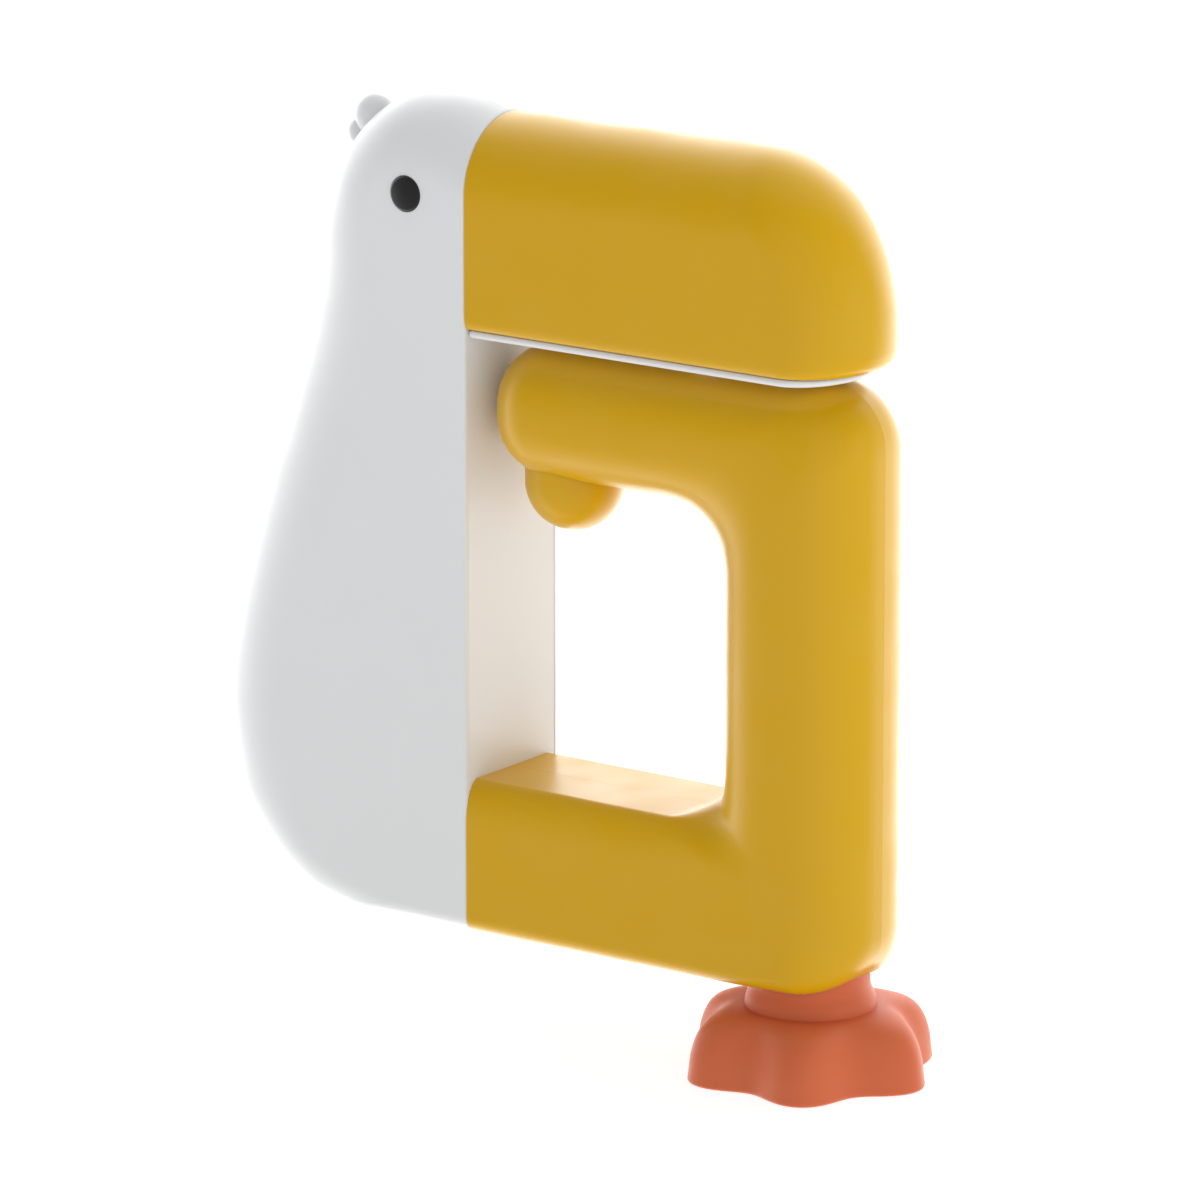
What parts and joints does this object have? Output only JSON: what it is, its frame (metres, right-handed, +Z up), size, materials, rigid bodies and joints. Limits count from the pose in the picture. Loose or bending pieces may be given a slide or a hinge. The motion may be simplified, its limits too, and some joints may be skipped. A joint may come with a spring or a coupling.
{
  "type": "hand-held battery water squirter",
  "caption": "Bird-shaped hand-held pool squirter: white grip body, yellow beak barrel, closed finger loop with a ball trigger, and a lobed orange screw-cap foot.",
  "frame": {"origin": "middle of the box in X and Y, on the surface that the foot stands on", "axes": "+X the way the beak points, +Y the bird's left, +Z up"},
  "size_m": [0.2028, 0.0566, 0.2259],
  "materials": {
    "white_abs": "satin moulded ABS",
    "yellow_abs": "satin-gloss moulded ABS",
    "coral_tpe": "soft matte moulded plastic",
    "black_gloss": "polished",
    "black_rubber": "matte",
    "lead_pvc": "soft sleeve over copper",
    "switch_plastic": "moulded",
    "clear_plastic": "translucent",
    "grey_acetal": "moulded acetal",
    "zinc_steel": "zinc plated",
    "circuit_green": "solder mask",
    "cell_wrap": "heat-shrink wrap"
  },
  "bodies": {
    "toy": {"body_shell_right": "white_abs", "body_shell_left": "white_abs", "front_panel": "white_abs", "beak_underplate": "white_abs", "crest": "white_abs", "beak_shell": "yellow_abs", "loop_shell_right": "yellow_abs", "loop_shell_left": "yellow_abs", "eye_right": "black_gloss", "eye_left": "black_gloss", "switch_lead": "lead_pvc", "motor_lead": "lead_pvc", "battery_lead": "lead_pvc", "trigger_switch": "switch_plastic", "water_tank": "clear_plastic", "suction_hose": "clear_plastic", "delivery_hose": "clear_plastic", "pump_housing": "grey_acetal", "pump_cover": "grey_acetal", "nozzle": "grey_acetal", "body_screw_1": "zinc_steel", "body_screw_2": "zinc_steel", "body_screw_3": "zinc_steel", "body_screw_4": "zinc_steel", "beak_screw_1": "zinc_steel", "beak_screw_2": "zinc_steel", "bar_screw_1": "zinc_steel", "bar_screw_2": "zinc_steel", "plate_screw_1": "zinc_steel", "plate_screw_2": "zinc_steel", "loop_screw_1": "zinc_steel", "loop_screw_2": "zinc_steel", "loop_screw_3": "zinc_steel", "loop_screw_4": "zinc_steel", "pump_screw_1": "zinc_steel", "pump_screw_2": "zinc_steel", "trigger_spring": "zinc_steel", "idler_pin": "zinc_steel", "motor_can": "zinc_steel", "battery_contact_plus": "zinc_steel", "battery_contact_minus": "zinc_steel", "charge_socket": "zinc_steel", "circuit_board": "circuit_green", "battery_cell": "cell_wrap"},
    "trigger": {"trigger_button": "yellow_abs"},
    "plunger": {"switch_plunger": "grey_acetal"},
    "cap_collar": {"cap_seal": "black_rubber"},
    "foot": {"foot_cap": "coral_tpe", "inlet_filter": "coral_tpe", "inlet_valve": "black_rubber"},
    "drive": {"pump_drive_gear": "zinc_steel", "motor_shaft": "zinc_steel"},
    "idler": {"pump_idler_gear": "zinc_steel"},
    "flap": {"port_flap": "black_rubber"}
  },
  "joints": [
    {"name": "trigger_press", "type": "slide", "parent": "toy", "child": "trigger", "axis": [0, 0, 1], "range_m": [0, 0.003], "stiffness_N_per_m": 300, "springref_m": -0.003, "deforming": ["trigger_spring"]},
    {"name": "plunger_press", "type": "slide", "parent": "toy", "child": "plunger", "axis": [0, 0, 1], "range_m": [0, 0.003]},
    {"name": "cap_turn", "type": "hinge", "parent": "cap_collar", "child": "foot", "pos_m": [0.06993, 0, 0.013], "axis": [0, 0, 1], "range_deg": [-540, 0]},
    {"name": "cap_lift", "type": "slide", "parent": "toy", "child": "cap_collar", "axis": [0, 0, 1], "range_m": [-0.00451, 0]},
    {"name": "drive_spin", "type": "hinge", "parent": "toy", "child": "drive", "pos_m": [-0.06057, 0, 0.075], "axis": [0, 0, 1], "continuous": true},
    {"name": "idler_spin", "type": "hinge", "parent": "toy", "child": "idler", "pos_m": [-0.07257, 0, 0.075], "axis": [0, 0, 1], "continuous": true},
    {"name": "flap_open", "type": "hinge", "parent": "toy", "child": "flap", "pos_m": [-0.03807, 0, 0.0237], "axis": [0, -1, 0], "range_deg": [0, 95]}
  ],
  "couplings": [
    {"joint": "plunger_press", "follows": "trigger_press", "ratio": 1},
    {"joint": "cap_lift", "follows": "cap_turn", "m_per_rad": 0.00047746},
    {"joint": "idler_spin", "follows": "drive_spin", "ratio": -1}
  ]
}
